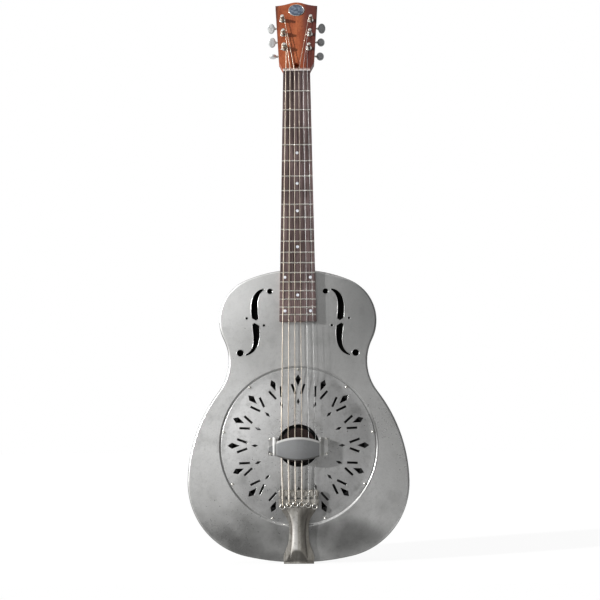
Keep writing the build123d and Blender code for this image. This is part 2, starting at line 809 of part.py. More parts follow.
with BuildPart() as neck:
    nut_end = d_section(headstock_z, nut_width / 2, neck_depth_nut, neck_front_y)
    heel_sections = [
        d_section(heel_z - drop, board_half_width(heel_start + drop), depth, neck_front_y)
        for drop, depth in heel_profile
    ]
    loft([nut_end, heel_sections[0]], ruled=True)
    loft(heel_sections)
    throat_front = neck_front_y + throat * tan(radians(headstock_tilt))
    throat_end = d_section(headstock_z + throat, nut_width / 2 - 0.6, 11.5, throat_front)
    loft([nut_end, throat_end], ruled=True)
    # the neck's sides are planed flush with the fingerboard, a hair inside its edges
    flush_end = board_end_width / 2 - neck_inset
    flush_nut = nut_width / 2 - neck_inset
    with BuildSketch(facing(back_y)):
        Polygon(
            (-flush_end, board_end_z),
            (flush_end, board_end_z),
            (flush_nut, nut_z),
            (flush_nut, headstock_z + 2 * throat),
            (-flush_nut, headstock_z + 2 * throat),
            (-flush_nut, nut_z),
            align=None,
        )
    extrude(amount=back_y - neck_front_y, mode=Mode.INTERSECT)
    with BuildSketch(headstock_plane):
        headstock_outline()
    extrude(amount=-headstock_thickness)
    # the heel is scribed to the body; the tongue rides on top of the body sheet
    with BuildSketch(facing(back_y + 5)):
        with Locations((0, crown_centre_z)):
            Circle(shoulder_top_radius)
    extrude(amount=back_y + 5 - front_y, mode=Mode.SUBTRACT)
    with BuildSketch(facing(front_y)):
        tongue_top = board_half_width(nut_z - body_top_z)
        Polygon(
            (-board_end_width / 2, board_end_z),
            (board_end_width / 2, board_end_z),
            (tongue_top, body_top_z),
            (-tongue_top, body_top_z),
            align=None,
        )
    extrude(amount=front_y - neck_front_y)
    with BuildSketch(Plane.XY.offset(rod_bottom_z)):
        with Locations((0, rod_y)):
            Circle(rod_radius)
    extrude(amount=rod_top_z - rod_bottom_z, mode=Mode.SUBTRACT)
    with BuildSketch(headstock_plane.offset(1)):
        with Locations((0, 6.5)):
            SlotOverall(15, 8, rotation=90)
    extrude(amount=-8.5, mode=Mode.SUBTRACT)
    with BuildSketch(headstock_plane.offset(-badge_depth)):
        with Locations((0, badge_centre_s)):
            Ellipse(*badge_size)
    extrude(amount=badge_depth + 1, mode=Mode.SUBTRACT)
    posts = [tuner_place(index)[:2] for index in range(6)]
    with BuildSketch(headstock_plane.offset(-bushing_depth)):
        with Locations(*posts):
            Circle(bushing_radius)
    extrude(amount=bushing_depth + 1, mode=Mode.SUBTRACT)
    with BuildSketch(headstock_plane.offset(-headstock_thickness - 1)):
        with Locations(*posts):
            Circle(post_hole_radius)
    extrude(amount=headstock_thickness + 1, mode=Mode.SUBTRACT)
write(neck.part, "neck")

with BuildPart() as truss_rod:
    with BuildSketch(Plane.XY.offset(rod_bottom_z)):
        with Locations((0, rod_y)):
            Circle(rod_radius)
    extrude(amount=rod_top_z - rod_bottom_z)
    with BuildSketch(Plane.XY.offset(rod_top_z)):
        with Locations((0, rod_y)):
            RegularPolygon(1.8, 6)
    extrude(amount=-4, mode=Mode.SUBTRACT)
write(truss_rod.part, "truss_rod")

with BuildPart() as headstock_badge:
    with BuildSketch(headstock_plane.offset(-badge_depth)):
        with Locations((0, badge_centre_s)):
            Ellipse(*badge_size)
    extrude(amount=badge_depth + 0.3)
write(headstock_badge.part, "headstock_badge")

# ---------------------------------------------------------------- fingerboard, frets, dots, nut

single_dots = (5, 7, 9, 12, 17)
paired_dots = {15: 21.4, 19: 21.4}


def dot_spots():
    """Centres of the position dots, half way between frets."""
    spots = []
    for fret in single_dots:
        spots.append((0, nut_z - (fret_distance(fret) + fret_distance(fret - 1)) / 2))
    for fret, x in paired_dots.items():
        z = nut_z - (fret_distance(fret) + fret_distance(fret - 1)) / 2
        spots.extend([(-x, z), (x, z)])
    return spots


with BuildPart() as fingerboard:
    with BuildSketch(facing(neck_front_y)):
        Polygon(
            (-board_end_width / 2, board_end_z),
            (board_end_width / 2, board_end_z),
            (nut_width / 2, nut_z),
            (-nut_width / 2, nut_z),
            align=None,
        )
    extrude(amount=board_thickness)
    with BuildSketch(Plane.YZ):
        slots = [(board_front_y, nut_z - fret_distance(n)) for n in range(1, fret_count + 1)]
        with Locations(*slots):
            Rectangle(2 * tang_depth, tang_width)
    extrude(amount=board_end_width, both=True, mode=Mode.SUBTRACT)
    with BuildSketch(facing(board_front_y + dot_depth)):
        with Locations(*dot_spots()):
            Circle(dot_radius)
    extrude(amount=dot_depth, mode=Mode.SUBTRACT)
write(fingerboard.part, "fingerboard")

with BuildPart() as frets:
    for number in range(1, fret_count + 1):
        distance = fret_distance(number)
        with BuildSketch(Plane.YZ):
            with Locations((board_front_y, nut_z - distance)):
                with Locations((tang_depth / 2, 0)):
                    Rectangle(tang_depth, tang_width)
            with BuildLine():
                low = (board_front_y, nut_z - distance - crown_width / 2)
                high = (board_front_y, nut_z - distance + crown_width / 2)
                ThreePointArc(low, (board_front_y - crown_height, nut_z - distance), high)
                Line(high, low)
            make_face()
        extrude(amount=board_half_width(distance) - 0.2, both=True)
write(frets.part, "frets")

with BuildPart() as position_dots:
    with BuildSketch(facing(board_front_y + dot_depth)):
        with Locations(*dot_spots()):
            Circle(dot_radius)
    extrude(amount=dot_depth)
write(position_dots.part, "position_dots")

nut_top_y = string_y_nut - 0.5
nut_crest_z = nut_z + 1.6
relief = 0.9

with BuildPart() as nut:
    with BuildSketch(Plane.YZ):
        with BuildLine():
            Polyline(
                (neck_front_y, nut_z),
                (nut_top_y, nut_z),
                (nut_top_y, nut_crest_z),
                (nut_top_y + 0.9, headstock_z),
                (neck_front_y, headstock_z),
                close=True,
            )
        make_face()
    extrude(amount=nut_width / 2, both=True)
    for index, wire in enumerate(string_radii):
        with BuildSketch(Plane.XY.offset(nut_z - 1)):
            string_groove(string_x(index, nut_spacing), string_y_nut, wire)
        extrude(amount=nut_thickness + 2, mode=Mode.SUBTRACT)
        # behind the crest each groove falls away towards the headstock
        with BuildSketch(Plane.YZ.offset(string_x(index, nut_spacing) - wire - relief)):
            with BuildLine():
                Polyline(
                    (string_y_nut + wire + 0.1, nut_crest_z + 0.2),
                    (string_y_nut - 4, nut_crest_z + 0.2),
                    (string_y_nut - 4, headstock_z + 1),
                    (string_y_nut + wire + 2.0, headstock_z + 1),
                    close=True,
                )
            make_face()
        extrude(amount=2 * (wire + relief), mode=Mode.SUBTRACT)
write(nut.part, "nut")

# ---------------------------------------------------------------- strings


def headstock_point(x, s, height):
    """Point in space from headstock coordinates."""
    return headstock_plane.from_local_coords(Vector(x, s, height))


def string_route(index):
    """Corner points of a string up to its post, then the mid point and end of its coil."""
    wire = string_radii[index]
    tail_x = string_x(index, tail_spacing)
    bar_y = tail_bar_y - ring_height - wire - groove_clearance
    nut_x = string_x(index, nut_spacing)
    nut_point = Vector(nut_x, string_y_nut, nut_crest_z)
    post_x, post_s, side = tuner_place(index)
    reach = post_radius + wire + 0.1
    nut_s = headstock_plane.to_local_coords(nut_point).Y
    run = Vector(post_x - nut_x, post_s - nut_s)
    span = run.length
    toward = run / span
    inner = Vector(toward.Y, -toward.X) * side * -1
    tilt = reach / span
    along = toward * sqrt(1 - tilt**2) + inner * tilt
    touch = Vector(nut_x, nut_s) + along * (span * sqrt(1 - tilt**2))
    to_centre = (Vector(post_x, post_s) - touch) / reach
    touch_point = headstock_point(touch.X, touch.Y, coil_height)
    centre = headstock_point(post_x, post_s, coil_height)
    inward = (centre - touch_point).normalized()
    travel = (touch_point - nut_point).normalized()
    corners = [
        Vector(tail_x, ball_y, ball_z(index)),
        Vector(tail_x, bar_y, ball_z(index)),
        Vector(tail_x, bar_y, tail_bar_top - 1.5),
        Vector(string_x(index, saddle_spacing), string_y_saddle, resonator_z),
        nut_point,
        touch_point,
    ]
    hub = touch_point + inward * reach

    def coil(degrees):
        turn = radians(degrees)
        return hub - inward * (reach * cos(turn)) + travel * (reach * sin(turn))

    return corners, coil(coil_turn / 2), coil(coil_turn)


def string_part(index):
    """One string from its ball end, over saddle and nut, to its coil on the post."""
    corners, coil_middle, coil_end = string_route(index)
    wire = string_radii[index]
    with BuildPart() as string:
        with BuildLine() as route:
            run = FilletPolyline(*corners, radius=[1.4, 20, 6, 4])
            ThreePointArc(run @ 1, coil_middle, coil_end)
        with BuildSketch(Plane(corners[0], z_dir=corners[1] - corners[0])):
            Circle(wire)
        sweep(path=route.wires()[0])
        with BuildSketch(Plane.YZ.offset(corners[0].X - ball_length / 2)):
            with Locations((corners[0].Y, corners[0].Z)):
                Circle(ball_radius)
        extrude(amount=ball_length)
    return string.part


for index, name in enumerate(string_names):
    write(string_part(index), f"string_{name}")

# ---------------------------------------------------------------- tuners

ear_offset = 5.2
ear_thickness = 1.2
ear_reach = 3.0
plate_half_width = 7.6
plate_ends = (27.5, 114.5)
plate_screw_s = (30.5, 55.6, 86.4, 112.0)
tuner_screw_radius = 1.1
tuner_screw_head = 1.2
shaft_end = 18.0
ferrule = (11.7, 13.45)
ferrule_radius = 2.4
button_centre = 20.1
button_half = (6.6, 8.8)
button_thickness = 5.6
button_turns = (113, 38, 38, 38, -10, -12)
gear_top = -14.2
post_shoulder = -14.0
peg_side = 3.2
peg_end = -16.8
gear_screw_radius = 0.9
gear_screw_head = 1.3


def row_x(side, s):
    """Line through the three posts of one side."""
    return side * (first_post_x + post_spread * (s - first_post_s) / post_pitch_s)


def tuner_plate(side):
    """Back plate of one side with a pair of ears for each worm shaft."""
    indices = [index for index in range(6) if tuner_place(index)[2] == side]
    with BuildPart() as plate:
        with BuildSketch(headstock_plane.offset(-headstock_thickness - plate_thickness)):
            low, high = plate_ends
            Polygon(
                (row_x(side, low) - plate_half_width, low),
                (row_x(side, low) + plate_half_width, low),
                (row_x(side, high) + plate_half_width, high),
                (row_x(side, high) - plate_half_width, high),
                align=None,
            )
            with Locations(*[tuner_place(index)[:2] for index in indices]):
                Circle(post_hole_radius, mode=Mode.SUBTRACT)
            with Locations(*[(row_x(side, s), s) for s in plate_screw_s]):
                Circle(tuner_screw_radius, mode=Mode.SUBTRACT)
        extrude(amount=plate_thickness)
        for index in indices:
            x, s, _ = tuner_place(index)
            worm_s = s - centre_distance
            for offset_x in (-ear_offset, ear_offset):
                ear_plane = Plane(
                    origin=headstock_point(x + offset_x - ear_thickness / 2, worm_s, -worm_depth),
                    x_dir=headstock_plane.y_dir,
                    z_dir=headstock_plane.x_dir,
                )
                with BuildSketch(ear_plane):
                    Circle(ear_reach)
                    rise = worm_depth - headstock_thickness - plate_thickness
                    Rectangle(2 * ear_reach, rise + 0.1, align=(Align.CENTER, Align.MAX))
                    Circle(worm_core_radius + running_clearance, mode=Mode.SUBTRACT)
                extrude(amount=ear_thickness)
    return plate.part


write(tuner_plate(-1), "tuner_plate_bass")
write(tuner_plate(1), "tuner_plate_treble")

with BuildPart() as tuner_plate_screws:
    screw_seats = [(row_x(side, s), s) for side in (-1, 1) for s in plate_screw_s]
    seat_depth = -headstock_thickness - plate_thickness
    with BuildSketch(headstock_plane.offset(seat_depth)):
        with Locations(*screw_seats):
            Circle(tuner_screw_radius)
    extrude(amount=plate_thickness)
    with BuildSketch(headstock_plane.offset(seat_depth)):
        with Locations(*screw_seats):
            Circle(2.1)
    extrude(amount=-tuner_screw_head, taper=25)
    with BuildSketch(headstock_plane.offset(seat_depth - tuner_screw_head)):
        with Locations(*screw_seats):
            Rectangle(5, 0.5, rotation=30)
    extrude(amount=0.6, mode=Mode.SUBTRACT)
write(tuner_plate_screws.part, "tuner_plate_screws")

washer_radius = 5.2
washer_height = 0.8

with BuildPart() as post_bushings:
    with BuildSketch(headstock_plane.offset(-bushing_depth)):
        with Locations(*posts):
            Circle(bushing_radius)
            Circle(post_radius + running_clearance, mode=Mode.SUBTRACT)
    extrude(amount=bushing_depth)
    with BuildSketch(headstock_plane):
        with Locations(*posts):
            Circle(washer_radius)
            Circle(post_radius + running_clearance, mode=Mode.SUBTRACT)
    extrude(amount=washer_height)
    circles = post_bushings.edges().filter_by(GeomType.CIRCLE)
    washers = circles.filter_by(lambda edge: abs(edge.radius - washer_radius) < 0.01)
    rims = washers.filter_by(lambda edge: headstock_plane.to_local_coords(edge.center()).Z > 0.4)
    fillet(rims, 0.5)
write(post_bushings.part, "post_bushings")


def string_post(index):
    """Winding post: waisted above the headstock, square peg for the gear below it."""
    x, s, _ = tuner_place(index)
    shaft_plane = Plane(
        origin=headstock_point(x, s, 0), x_dir=headstock_plane.x_dir, z_dir=-headstock_plane.y_dir
    )
    with BuildPart() as post:
        with BuildSketch(shaft_plane):
            with BuildLine():
                foot = Polyline((0, post_shoulder), (post_radius, post_shoulder), (post_radius, 6.4))
                neck_in = ThreePointArc(foot @ 1, (2.72, 8.8), (2.9, 11.2))
                tip = Polyline(
                    neck_in @ 1,
                    (2.9, post_height - 0.6),
                    (2.3, post_height),
                    (0, post_height),
                )
                Line(tip @ 1, foot @ 0)
            make_face()
        revolve(axis=Axis(headstock_point(x, s, 0), headstock_plane.z_dir))
        with BuildSketch(headstock_plane.offset(peg_end)):
            with Locations((x, s)):
                Rectangle(peg_side, peg_side)
                Circle(gear_screw_radius, mode=Mode.SUBTRACT)
        extrude(amount=post_shoulder - peg_end)
        hole_plane = Plane(
            origin=headstock_point(x, s, string_hole_height),
            x_dir=headstock_plane.x_dir,
            z_dir=headstock_plane.y_dir,
        )
        with BuildSketch(hole_plane):
            Circle(1.1)
        extrude(amount=6, both=True, mode=Mode.SUBTRACT)
    return post.part


def gear_tooth():
    """One tooth of the post gear, pointing along local +x."""
    Polygon(
        (gear_root_radius - 0.6, -0.52),
        (gear_outer_radius, -0.17),
        (gear_outer_radius, 0.17),
        (gear_root_radius - 0.6, 0.52),
        align=None,
    )


def post_gear(index):
    """Gear on the post's square peg, and the screw that holds it."""
    x, s, _ = tuner_place(index)
    gear_bottom = gear_top - gear_thickness
    with BuildPart() as gear:
        with BuildSketch(headstock_plane.offset(gear_bottom)):
            with Locations((x, s)):
                Circle(gear_root_radius)
                with PolarLocations(0, gear_teeth, -90):
                    gear_tooth()
                Rectangle(peg_side, peg_side, mode=Mode.SUBTRACT)
        extrude(amount=gear_thickness)
        with BuildSketch(headstock_plane.offset(gear_bottom)):
            with Locations((x, s)):
                Circle(2.6)
        extrude(amount=-gear_screw_head, taper=12)
        with BuildSketch(headstock_plane.offset(gear_bottom)):
            with Locations((x, s)):
                Circle(gear_screw_radius)
        extrude(amount=2.8)
        with BuildSketch(headstock_plane.offset(gear_bottom - gear_screw_head)):
            with Locations((x, s)):
                Rectangle(6, 0.6)
        extrude(amount=0.7, mode=Mode.SUBTRACT)
    return gear.part


def worm_frame(index, degrees=0):
    """Plane across a worm shaft: z runs along +X; unturned, x points down the headstock."""
    x, s, _ = tuner_place(index)
    turn = radians(degrees)
    down = -headstock_plane.y_dir
    inward = -headstock_plane.z_dir
    return Plane(
        origin=headstock_point(x, s - centre_distance, -worm_depth),
        x_dir=down * cos(turn) + inward * sin(turn),
        z_dir=headstock_plane.x_dir,
    )


def worm_shaft(index):
    """Worm, journals and ferrule in one turned piece."""
    _, _, side = tuner_place(index)
    frame = worm_frame(index)
    inner = ear_offset + ear_thickness / 2 + 0.2
    thread_length = worm_turns * worm_lead
    thread_height = worm_tip_radius - worm_core_radius
    with BuildPart() as thread:
        with BuildLine() as spiral:
            Helix(worm_lead, thread_length, worm_core_radius, center=(0, 0, -thread_length / 2))
        with BuildSketch(Plane(spiral.line @ 0, x_dir=(1, 0, 0), z_dir=spiral.line % 0)):
            Polygon(
                (-0.15, -0.49),
                (thread_height, -0.18),
                (thread_height, 0.18),
                (-0.15, 0.49),
                align=None,
            )
        sweep(path=spiral.line, is_frenet=True)
        with BuildSketch(Plane.XY.offset(-inner if side > 0 else -shaft_end)):
            Circle(worm_core_radius)
        extrude(amount=inner + shaft_end)
        with BuildSketch(Plane.XY.offset(ferrule[0] if side > 0 else -ferrule[1])):
            Circle(ferrule_radius)
        extrude(amount=ferrule[1] - ferrule[0])
    return frame.location * thread.part


def tuner_button(index):
    """Oval button with rounded faces, bored for its shaft."""
    _, _, side = tuner_place(index)
    frame = worm_frame(index, button_turns[index])
    face_plane = Plane(
        origin=frame.from_local_coords((0, -button_thickness / 2, side * button_centre)),
        x_dir=frame.z_dir,
        z_dir=frame.y_dir,
    )
    with BuildPart() as button:
        with BuildSketch(face_plane):
            Ellipse(*button_half)
        extrude(amount=button_thickness)
        fillet(button.edges(), 2.3)
        with BuildSketch(worm_frame(index).offset(side * ferrule[1])):
            Circle(worm_core_radius)
        extrude(amount=side * (shaft_end - ferrule[1]), mode=Mode.SUBTRACT)
    return button.part


for index, name in enumerate(string_names):
    write(string_post(index), f"string_post_{name}")
    write(post_gear(index), f"post_gear_{name}")
    write(worm_shaft(index), f"worm_shaft_{name}")
    write(tuner_button(index), f"tuner_button_{name}")
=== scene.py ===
"""Looks of a metal-bodied resonator guitar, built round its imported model.

Metres, in the model's frame: the neck runs up +Z, the strings face -Y, the bass side is -X.
"""

import json
from math import cos, pi, radians, sin, tau

import bmesh
import bpy
from mathutils import Matrix, Vector

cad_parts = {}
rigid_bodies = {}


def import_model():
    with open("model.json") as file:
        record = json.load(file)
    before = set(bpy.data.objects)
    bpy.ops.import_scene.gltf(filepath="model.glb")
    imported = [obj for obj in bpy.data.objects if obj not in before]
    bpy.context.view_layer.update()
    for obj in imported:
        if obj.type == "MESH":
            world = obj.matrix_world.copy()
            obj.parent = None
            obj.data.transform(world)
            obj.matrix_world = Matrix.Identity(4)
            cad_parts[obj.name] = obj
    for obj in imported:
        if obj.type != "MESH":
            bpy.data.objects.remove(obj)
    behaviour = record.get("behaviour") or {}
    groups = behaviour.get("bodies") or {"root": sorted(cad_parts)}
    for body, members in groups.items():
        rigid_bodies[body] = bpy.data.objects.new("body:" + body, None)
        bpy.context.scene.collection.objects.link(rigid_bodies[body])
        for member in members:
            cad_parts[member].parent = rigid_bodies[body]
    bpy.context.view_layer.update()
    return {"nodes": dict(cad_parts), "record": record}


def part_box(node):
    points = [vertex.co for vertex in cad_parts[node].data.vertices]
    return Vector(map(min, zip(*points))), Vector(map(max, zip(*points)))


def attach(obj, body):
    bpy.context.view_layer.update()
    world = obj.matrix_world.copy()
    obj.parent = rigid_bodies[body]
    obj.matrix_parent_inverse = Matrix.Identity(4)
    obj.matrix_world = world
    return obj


for starting_object in list(bpy.data.objects):
    bpy.data.objects.remove(starting_object)
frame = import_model()
nodes = frame["nodes"]

# ---------------------------------------------------------------- sizes and places

mm = 0.001
strings = ("e_low", "a", "d", "g", "b", "e_high")
wire_radius = {"e_low": 0.71, "a": 0.58, "d": 0.46, "g": 0.33, "b": 0.216, "e_high": 0.165}
sleeved_count = 4  # the low strings, whose ends have silk round them
middle_string = (len(strings) - 1) / 2

resonator_z = 190 * mm
bar_top_y, bar_top_z, bar_spacing = -54.8 * mm, 116.5 * mm, 10.5 * mm
saddle_top_y, saddle_spacing = -58.0 * mm, 11.2 * mm

headstock_foot = (0, -0.044, 0.8344)
headstock_turn = radians(75)
headstock = Matrix.Translation(headstock_foot) @ Matrix.Rotation(headstock_turn, 4, "X")
post_across, post_across_step = 21.5 * mm, 1.75 * mm
post_along, post_along_step = 44.6 * mm, 30.0 * mm
badge_along = 126.4 * mm

# ---------------------------------------------------------------- camera

camera_place = Vector((0.0038, -1.6855, 0.2156))
camera_pitch = radians(7.5)
camera_roll = radians(-0.3)

camera = bpy.data.objects.new("camera", bpy.data.cameras.new("camera"))
camera.data.lens = 59.15
camera.data.sensor_width = 36
camera.data.clip_end = 100
ahead = Vector((0, cos(camera_pitch), sin(camera_pitch)))
turn = ahead.to_track_quat("-Z", "Y").to_matrix().to_4x4() @ Matrix.Rotation(camera_roll, 4, "Z")
camera.matrix_world = Matrix.Translation(camera_place) @ turn
bpy.context.collection.objects.link(camera)
bpy.context.scene.camera = camera


# ---------------------------------------------------------------- writing materials


class Value:
    """One output of a node; arithmetic on it adds Math nodes."""

    def __init__(self, finish, socket):
        self.finish = finish
        self.socket = socket

    def maths(self, operation, *terms):
        settings = {"operation": operation}
        return self.finish.node("ShaderNodeMath", settings, dict(enumerate(terms)))

    def __add__(self, other):
        return self.maths("ADD", self, other)

    __radd__ = __add__

    def __sub__(self, other):
        return self.maths("SUBTRACT", self, other)

    def __rsub__(self, other):
        return self.maths("SUBTRACT", other, self)

    def __mul__(self, other):
        return self.maths("MULTIPLY", self, other)

    __rmul__ = __mul__

    def __truediv__(self, other):
        return self.maths("DIVIDE", self, other)

    def __abs__(self):
        return self.maths("ABSOLUTE", self)

    def sine(self):
        return self.maths("SINE", self)


class Finish:
    """A material, or the world, whose patterns are written as expressions."""

    def __init__(self, name, owner=None, **constants):
        self.owner = owner or bpy.data.materials.new(name)
        self.owner.use_nodes = True
        self.tree = self.owner.node_tree
        self.shader = self.tree.nodes.get("Principled BSDF")
        for socket, constant in constants.items():
            self.shader.inputs[socket.replace("_", " ")].default_value = constant

    def node(self, kind, settings=None, sockets=None, output=0):
        """Add a node: its settings first, then the values or links of its sockets."""
        made = self.tree.nodes.new(kind)
        for key, setting in (settings or {}).items():
            setattr(made, key, setting)
        for key, value in (sockets or {}).items():
            self.join(value, made.inputs[key])
        return Value(self, made.outputs[output])

    def join(self, value, socket):
        """Link a value to a socket, or set the socket to a plain number or colour."""
        if isinstance(value, Value):
            self.tree.links.new(value.socket, socket)
        else:
            socket.default_value = value

    def drive(self, **sockets):
        """Feed the surface shader, and give back the finished material."""
        for key, value in sockets.items():
            self.join(value, self.shader.inputs[key.replace("_", " ")])
        return self.owner

    def place(self):
        """Object coordinates."""
        return self.node("ShaderNodeTexCoord", output="Object")

    def axes(self, vector):
        """The three numbers of a vector."""
        split = self.node("ShaderNodeSeparateXYZ", None, {0: vector})
        return [Value(self, socket) for socket in split.socket.node.outputs]

    def stretched(self, vector, scale, shift=(0, 0, 0)):
        sockets = {"Vector": vector, "Location": shift, "Scale": scale}
        return self.node("ShaderNodeMapping", None, sockets)

    def from_resonator(self, place):
        """Distance from the resonator's axis."""
        centred = self.stretched(place, (1, 0, 1), shift=(0, 0, -resonator_z))
        return self.node("ShaderNodeVectorMath", {"operation": "LENGTH"}, {0: centred}, "Value")

    def noise(self, vector, scale, detail=2.0, rough=0.5, twist=0.0):
        sockets = {"Vector": vector, "Scale": scale, "Detail": detail, "Roughness": rough}
        sockets["Distortion"] = twist
        return self.node("ShaderNodeTexNoise", None, sockets)

    def ease(self, value, low, high):
        """Nought at low, one at high, smooth between."""
        settings = {"interpolation_type": "SMOOTHSTEP"}
        sockets = {"Value": value, "From Min": low, "From Max": high}
        return self.node("ShaderNodeMapRange", settings, sockets)

    def mix(self, share, first, second):
        settings = {"data_type": "RGBA"}
        return self.node("ShaderNodeMix", settings, {0: share, 6: first, 7: second}, 2)

    def bump(self, height, depth, strength, over=None):
        sockets = {"Strength": strength, "Distance": depth, "Height": height}
        if over:
            sockets["Normal"] = over
        return self.node("ShaderNodeBump", None, sockets)

    def direct_rays(self, *kinds):
        """One for rays from the lens and for rays of the named kinds, nought for the rest."""
        seen = self.node("ShaderNodeLightPath")
        for kind in kinds:
            seen = seen.maths("MAXIMUM", seen, self.node("ShaderNodeLightPath", output=kind))
        return seen


def shade(red, green, blue):
    return (red, green, blue, 1.0)


# ---------------------------------------------------------------- finishes


class Sheet:
    """Where a point of the nickel sheet lies, and the clouds that its stains and its painted shade share.
    """

    def __init__(self, finish):
        self.place = finish.place()
        self.across, self.deep, self.up = finish.axes(self.place)
        self.facing_front = 0.0 - finish.axes(finish.node("ShaderNodeTexCoord", output="Normal"))[1]
        self.front = finish.ease(self.deep, -0.030, -0.036)
        self.cloud = finish.noise(self.place, 7.0, 3.0, 0.55)
        self.blotch = finish.noise(self.place, 32.0, 4.0, 0.6)
        self.fleck = finish.noise(self.place, 170.0, 3.0, 0.65)
        self.speck = finish.noise(self.place, 700.0, 2.0, 0.6)


def clouded_plate(finish, sheet, bright, dull, mottle):
    """Plate that is bright and dull in clouds, with blotches, flecks and specks."""
    cloud, blotch, fleck, speck = sheet.cloud, sheet.blotch, sheet.fleck, sheet.speck
    tone = finish.ease(cloud * 0.5 + blotch * 0.3 + fleck * 0.2, 0.38, 0.62)
    colour = finish.mix(tone, dull, bright)
    for pattern, low, high, share, stain in (
        (blotch, 0.48, 0.74, 0.34 * mottle, shade(0.22, 0.22, 0.21)),
        (fleck, 0.42, 0.72, 0.20 * mottle, shade(0.20, 0.20, 0.19)),
        (speck, 0.45, 0.70, 0.10, shade(0.18, 0.18, 0.17)),
    ):
        colour = finish.mix(finish.ease(pattern, low, high) * share, colour, stain)
    return colour


def treble_and_waist_shade(finish, sheet, colour, strength):
    """The plate darkens towards the treble side, as painted shade away from the key light; it is also
    darker in a soft belt round the waist.
    """
    drift = sheet.across + (sheet.cloud - 0.5) * 0.10 + (sheet.blotch - 0.5) * 0.03
    shoulder = 0.22 + 0.78 * finish.ease(sheet.up, 0.22, 0.42)
    # painted shade towards the treble side, strongest on the upper bout
    treble_shade_mask = finish.ease(drift, -0.01, 0.13) * shoulder * strength
    colour = finish.mix(treble_shade_mask, colour, shade(0.16, 0.165, 0.165))
    from_waist = abs(sheet.up + (sheet.cloud - 0.5) * 0.08 - 0.36)
    belt = finish.ease(from_waist, 0.11, 0.02) * finish.ease(abs(sheet.across), 0.13, 0.05)
    return finish.mix(belt * 0.34, colour, shade(0.24, 0.24, 0.235))


def painted_ground_reflection(finish, sheet, colour, strength, pan=None):
    """Painted dark reflection of the ground: darker towards where the guitar stands, less on the pan,
    with a dark patch on the treble side.
    """
    across, up, wander = sheet.across, sheet.up, sheet.cloud - 0.5
    ragged = up + abs(across) * 0.20 + wander * 0.16 + (sheet.blotch - 0.5) * 0.08
    less_behind = 1.0 - 0.5 * finish.ease(sheet.deep, -0.03, 0.03)
    # painted dark reflection of the ground, darkest at the foot
    low = finish.ease(ragged, 0.135, 0.005) * less_behind * strength
    if pan:
        low = low * (1.0 - 0.9 * pan)
    colour = finish.mix(low, colour, shade(0.055, 0.055, 0.053))
    # painted dark patch on the treble side of the foot
    aside, above = (across - 0.088) * (1 / 0.090), (up - 0.040) * (1 / 0.040)
    from_dark_patch = aside * aside + above * above + wander * 1.5
    treble_dark_patch = finish.ease(from_dark_patch, 1.0, 0.1) * sheet.front * (0.66 * strength)
    return finish.mix(treble_dark_patch, colour, shade(0.05, 0.05, 0.048))


def palm_rest_light_and_shade(finish, sheet, colour):
    """Painted light on the palm rest: painted highlights on its upper edge and flanks, painted shade
    below, in its crease and on its upper bass ear.
    """
    across, up = sheet.across, sheet.up
    bow = across * across / 0.0375**2
    upper = up - (0.2035 - 0.0077 * bow)
    lower = up - (0.1664 + 0.0075 * bow)
    # painted shade along and below the lower edge
    colour = finish.mix(finish.ease(lower, 0.020, 0.0) * 0.35, colour, shade(0.16, 0.16, 0.165))
    colour = finish.mix(finish.ease(lower, 0.0030, 0.0014) * 0.7, colour, shade(0.06, 0.055, 0.05))
    # painted highlights on both flanks
    bass_flank = finish.ease(across, -0.0380, -0.0395) * finish.ease(across, -0.0430, -0.0415)
    colour = finish.mix(bass_flank * 0.7, colour, shade(0.82, 0.82, 0.80))
    treble_flank = finish.ease(across, 0.0335, 0.0350)
    colour = finish.mix(treble_flank * 0.8, colour, shade(0.88, 0.88, 0.86))
    # painted highlight along the upper edge
    colour = finish.mix(finish.ease(upper, -0.0044, -0.0024), colour, shade(0.68, 0.675, 0.66))
    # painted shade in the bass crease and on the upper bass ear
    crease = finish.ease(across, -0.0340, -0.0352) * finish.ease(across, -0.0390, -0.0378)
    ear = finish.ease(across, -0.0425, -0.0440) * finish.ease(up, 0.184, 0.192)
    return finish.mix((crease + ear) * 0.6, colour, shade(0.13, 0.13, 0.13))


def body_pan(finish, sheet):
    """One on the sloping pan round the coverplate, nought elsewhere."""
    reach = finish.from_resonator(sheet.place)
    return finish.ease(reach, 0.1272, 0.1282) * finish.ease(reach, 0.1328, 0.1318) * sheet.front


def body_light_and_shade(finish, sheet, colour, pan):
    """Painted shade on the pan's treble side and inside the body, and a painted highlight on the bass
    shoulder.
    """
    across, up = sheet.across, sheet.up
    level = finish.ease(up, 0.095, 0.125) * finish.ease(up, 0.255, 0.225)
    # painted shade damping the glint on the pan's treble side
    pan_shade = pan * finish.ease(across, 0.08, 0.11) * level
    colour = finish.mix(pan_shade * 0.72, colour, shade(0.10, 0.10, 0.098))
    # painted highlight on the bass shoulder
    shoulder_highlight = finish.ease(across + (sheet.cloud - 0.5) * 0.05, 0.0, -0.11)
    shoulder_highlight = shoulder_highlight * finish.ease(up, 0.36, 0.43) * sheet.front
    colour = finish.mix(shoulder_highlight * 0.5, colour, shade(0.86, 0.86, 0.85))
    # painted shade on inner surfaces seen through the holes
    inner_shade = finish.ease(sheet.facing_front, 0.3, 0.6) * finish.ease(sheet.deep, -0.028, -0.024)
    return finish.mix(inner_shade, colour, shade(0.012, 0.011, 0.010))


